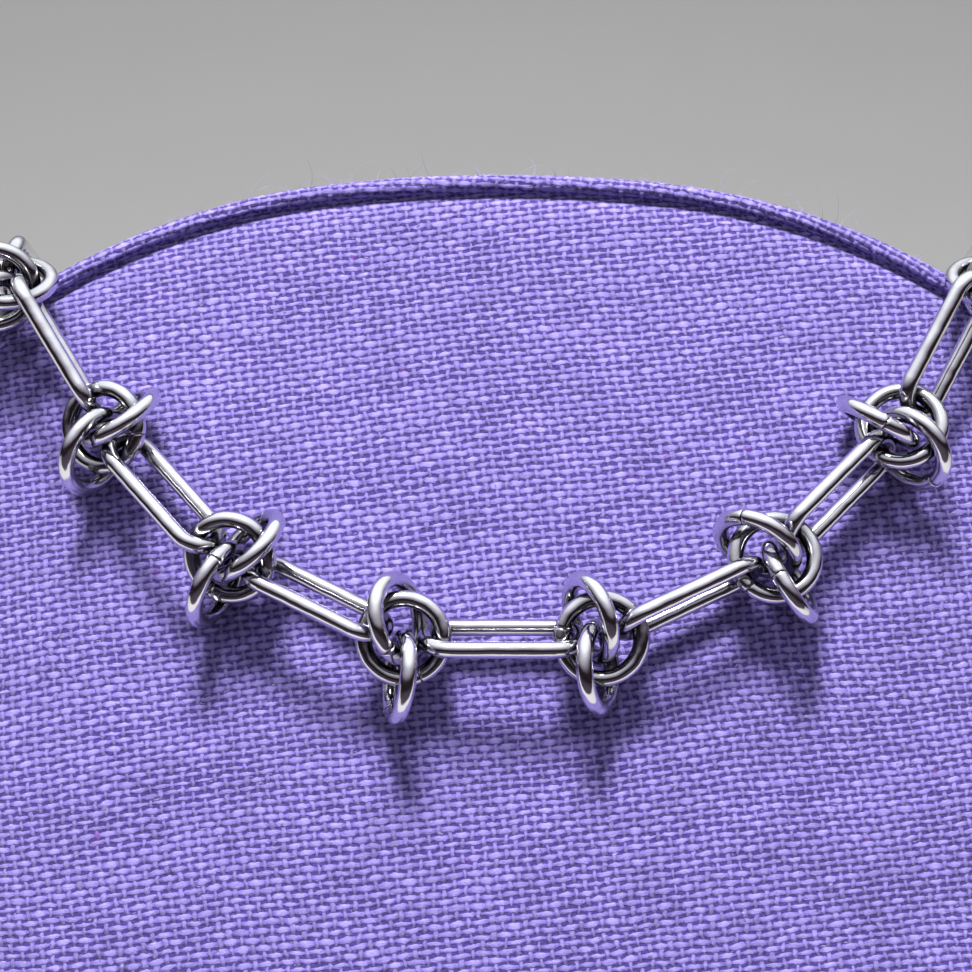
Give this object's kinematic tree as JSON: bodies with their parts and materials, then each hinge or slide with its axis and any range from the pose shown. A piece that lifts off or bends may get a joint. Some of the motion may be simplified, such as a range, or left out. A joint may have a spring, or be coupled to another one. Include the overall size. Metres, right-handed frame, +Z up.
{
  "type": "knot chain choker on a neck bust",
  "caption": "Steel choker of long oval links joined by knots of interlocked rings, draped on a linen-covered neck bust with piped edge.",
  "frame": {"origin": "centre of the whole part's box at the flat base of the bust", "axes": "+Z up, -Y towards the viewer in front of the bust, X across the neck"},
  "size_m": [0.1924, 0.1204, 0.166],
  "materials": {
    "linen": "coarse plain weave linen, lavender purple",
    "piping_linen": "the same linen cut on the bias round a cord",
    "ring_steel": "polished steel",
    "link_steel": "polished steel",
    "clasp_steel": "polished steel"
  },
  "bodies": {
    "root": {"bust_form": "linen", "rim_piping": "piping_linen", "knot_01": "ring_steel", "knot_02": "ring_steel", "knot_03": "ring_steel", "knot_04": "ring_steel", "knot_05": "ring_steel", "knot_06": "ring_steel", "knot_07": "ring_steel", "knot_08": "ring_steel", "knot_09": "ring_steel", "knot_10": "ring_steel", "knot_11": "ring_steel", "knot_12": "ring_steel", "knot_13": "ring_steel", "knot_14": "ring_steel", "knot_15": "ring_steel", "knot_16": "ring_steel", "link_01": "link_steel", "link_02": "link_steel", "link_03": "link_steel", "link_04": "link_steel", "link_05": "link_steel", "link_06": "link_steel", "link_07": "link_steel", "link_08": "link_steel", "link_09": "link_steel", "link_10": "link_steel", "link_11": "link_steel", "link_12": "link_steel", "link_13": "link_steel", "link_14": "link_steel", "link_15": "link_steel", "link_16": "link_steel", "link_17": "link_steel", "clasp": "clasp_steel"}
  },
  "joints": []
}
